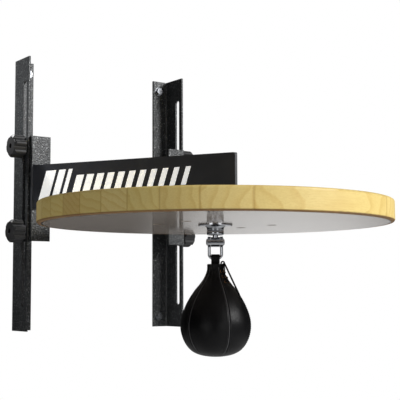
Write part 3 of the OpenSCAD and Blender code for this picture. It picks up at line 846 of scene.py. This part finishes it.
def make_lacing():
    """The laced part: crosses between the rows, a bar at the foot and a knot at the throat."""
    def over(a, b, lift=0.0021):
        path = []
        for k in range(9):
            t = k / 8
            turn, radius, z = ((1 - t) * x + t * y for x, y in zip(a, b))
            rise = lift * min(1.0, 6 * min(t, 1 - t)) - 0.0006 * (min(t, 1 - t) < 0.05)
            path.append(bag_point(turn, outline_radius(z), z, rise))
        return sweep(path, 0.0011, 8)
    left = [eyelet_spot(-1, d) for d in EYELET_ROWS]
    right = [eyelet_spot(1, d) for d in EYELET_ROWS]
    laces = [over(left[2], right[2], 0.0016)]
    for row in range(len(EYELET_ROWS) - 1):
        laces += [over(left[row], right[row + 1], 0.0018), over(right[row], left[row + 1], 0.0034)]
    mouth = (SLIT_AT + 0.12, 0.0139, -0.0695)
    laces += [over(left[0], mouth), over(right[0], mouth, 0.0028)]
    middle = Vector((0.0124, -0.0046, -0.0668))
    turns = [math.tau * k / 40 for k in range(49)]
    knot = [middle + Vector((0.0031 * math.cos(a) * 0.9, 0.0014 * math.sin(1.6 * a), 0.0031 * math.sin(a)))
            for a in turns]
    laces.append(sweep(knot, 0.0013, 8))
    laces.append(sweep(catmull([Vector((0.0113, -0.0078, -0.0712)), Vector((0.0121, -0.0064, -0.0694)),
                                Vector((0.0132, -0.0047, -0.0678)), LACE_ROUTE[0]], 4), 0.0013, 8))
    place(hung(tubes("bag_lacing", laces)), "bag", "lace_leather", STRAP)


def make_strap():
    """The strap over the bail's bow, its two ends sewn into the throat."""
    bow = (BOW_Z - BOARD_LOW)
    half_w, half_t, turn_r = 0.0073, 0.0011, 0.0053
    path = [Vector((0, -0.0034, -0.0735)), Vector((0, -0.0036, -0.0685)), Vector((0, -0.0046, -0.0635)),
            Vector((0, -turn_r, bow - 0.002))]
    path = catmull(path, 6)
    arc = [Vector((0, -turn_r * math.cos(a), bow + turn_r * math.sin(a)))
           for a in (math.pi * k / 18 for k in range(19))]
    path = path + arc + [Vector((0, -p.y, p.z)) for p in reversed(path)]
    corner = [(1, -0.55), (1.0, 0.55), (0.96, 0.9), (0.88, 1), (-0.88, 1), (-0.96, 0.9), (-1, 0.55),
              (-1, -0.55), (-0.96, -0.9), (-0.88, -1), (0.88, -1), (0.96, -0.9)]
    rings = []
    for i, p in enumerate(path):
        ahead = (path[min(i + 1, len(path) - 1)] - path[max(i - 1, 0)]).normalized()
        out = ahead.cross(Vector((1, 0, 0))).normalized()
        wave = 1 + 0.015 * math.sin(i * 0.7)
        rings.append([p + Vector((half_w * wave * x, 0, 0)) + out * (half_t * t) for x, t in corner])
    strap = loft("bag_strap", rings)
    smooth_by_angle(strap, 50)
    place(hung(strap), "bag", "bag_leather", STRAP, "bag_loop")
    stitches = []
    rows = [p for p in path if p.y < 0 and p.z < bow + 0.001]
    line = arc_resample(rows, 9)
    for x in (-0.0058, 0.0058):
        for face in (-1, 1):
            for a, b in zip(line, line[1:]):
                b = b.lerp(a, 0.3)
                shift = Vector((x, -half_t, 0))
                ends = [Vector((q.x, q.y * -face, q.z)) for q in (a + shift, b + shift)]
                stitches.append(stitch_rings(ends[0], ends[1], 0.0003, Vector((0, face, 0))))
    place(hung(tubes("strap_stitches", stitches)), "bag", "bag_leather", THREAD)


def make_throat():
    """The plug in the throat, folded round the strap's ends."""
    profile = [(0, -69.6), (5, -69.5), (8.6, -69.7), (10.4, -70.6), (11.1, -72.2), (11.1, -75), (0, -75)]
    rings = []
    for r, z in profile:
        rings.append([Vector((max(r, 0.01) * MM * (1 + 0.02 * math.cos(9 * a)) * math.cos(a),
                              max(r, 0.01) * MM * (1 + 0.02 * math.cos(9 * a)) * math.sin(a),
                              (z + 0.3 * (r > 1) * (r < 11) * math.cos(9 * a)) * MM))
                      for a in (math.tau * k / 72 for k in range(72))])
    place(hung(loft("throat_filling", rings)), "bag", "bag_leather", STRAP, "throat_plug")


make_bag_shell()
make_bag_seams()
make_eyelets()
make_lacing()
make_strap()
make_throat()


# ---------------------------------------------------------------- stage
def area_light(name, at, aim, size, power, spread=180):
    data = bpy.data.lights.new(name, "AREA")
    data.energy = power
    data.size = size
    data.spread = math.radians(spread)
    light = link(name, data)
    light.location = at
    light.rotation_mode = "QUATERNION"
    light.rotation_quaternion = (Vector(aim) - Vector(at)).to_track_quat("-Z", "Y")


# Directions towards the glows, and the leans (cosines) between which each one rises
ROOM_WAY, ROOM_LEAN = (-0.25, -0.35, 0.9), (-0.5, 0.95)
ROOM_LOW, ROOM_HIGH = 0.03, 0.33
FAR_WALL_WAY, FAR_WALL_LEAN = (0.656, 0.755, 0), (0.985, 0.9998)
MIRROR_DARK, MIRROR_BRIGHT = 0.04, 0.72
SOFTBOX_WAYS = ((-0.1, -0.995, 0), (-0.912, -0.41, 0))
SOFTBOX_LEAN = (0.968, 0.993)
SOFTBOX_GLOW = 3.0
KEY_WAY, KEY_DISTANCE, KEY_SIZE, KEY_POWER = Vector((0.48, -0.82, 0.42)), 3, 1.0, 98
RAIL_LIGHT_AT, RAIL_LIGHT_AIM = (-0.45, 0.3, 0.7), (-0.2, -0.02, 0.15)
RAIL_LIGHT_SIZE, RAIL_LIGHT_POWER, RAIL_LIGHT_SPREAD = 0.15, 0.5, 30


def make_world():
    """A white backdrop and soft light from above.

    Glossy rays see another room: a bright far wall and two softboxes, placed for the main camera.
    """
    world = bpy.data.worlds.new("studio")
    world.use_nodes = True
    tree = world.node_tree
    make = tree.nodes.new
    towards = make("ShaderNodeTexCoord").outputs["Generated"]

    def glow(axis, start, end, low, high):
        lean = make("ShaderNodeVectorMath")
        lean.operation = "DOT_PRODUCT"
        lean.inputs[1].default_value = axis
        tree.links.new(towards, lean.inputs[0])
        ramp = make("ShaderNodeMapRange")
        ramp.interpolation_type = "SMOOTHSTEP"
        for key, value in (("From Min", start), ("From Max", end), ("To Min", low), ("To Max", high)):
            ramp.inputs[key].default_value = value
        tree.links.new(lean.outputs["Value"], ramp.inputs["Value"])
        background = make("ShaderNodeBackground")
        background.inputs["Color"].default_value = (1, 1, 1, 1)
        tree.links.new(ramp.outputs["Result"], background.inputs["Strength"])
        return background.outputs[0]

    room = glow(ROOM_WAY, *ROOM_LEAN, ROOM_LOW, ROOM_HIGH)
    mirrored_room = glow(FAR_WALL_WAY, *FAR_WALL_LEAN, MIRROR_DARK, MIRROR_BRIGHT)
    for way in SOFTBOX_WAYS:
        both = make("ShaderNodeAddShader")
        tree.links.new(mirrored_room, both.inputs[0])
        tree.links.new(glow(way, *SOFTBOX_LEAN, 0, SOFTBOX_GLOW), both.inputs[1])
        mirrored_room = both.outputs[0]
    backdrop = tree.nodes["Background"]
    backdrop.inputs["Color"].default_value = (1, 1, 1, 1)
    path = make("ShaderNodeLightPath").outputs
    shine = make("ShaderNodeMixShader")
    seen = make("ShaderNodeMixShader")
    for mix, factor, a, b in ((shine, path["Is Glossy Ray"], room, mirrored_room),
                              (seen, path["Is Camera Ray"], shine.outputs[0], backdrop.outputs[0])):
        tree.links.new(factor, mix.inputs[0])
        tree.links.new(a, mix.inputs[1])
        tree.links.new(b, mix.inputs[2])
    tree.links.new(seen.outputs[0], tree.nodes["World Output"].inputs["Surface"])
    bpy.context.scene.world = world


def make_stage():
    """A pale floor well below the object, a white studio and soft lights."""
    floor_z = cad_box[0].z - 0.9
    half = 3.0
    mid = Vector(BOARD_MID)
    corners = [(mid.x + x * half, mid.y + y * half, floor_z) for x, y in ((-1, -1), (1, -1), (1, 1), (-1, 1))]
    floor = mesh_object("floor", corners, [(0, 1, 2, 3)], smooth=False)
    m = Nodes("floor_white")
    base = m.ramp(m.noise(0.4, 2), [(0.3, rgb(250, 250, 250)), (0.7, rgb(253, 253, 253))])
    paint(floor, m.finish(Base_Color=base, Roughness=0.9))
    make_world()
    area_light("key", mid + KEY_DISTANCE * KEY_WAY, mid, KEY_SIZE, KEY_POWER)
    area_light("rail_light", RAIL_LIGHT_AT, RAIL_LIGHT_AIM, RAIL_LIGHT_SIZE, RAIL_LIGHT_POWER,
               RAIL_LIGHT_SPREAD)


make_stage()
scene = bpy.context.scene
scene.view_settings.view_transform = "Standard"
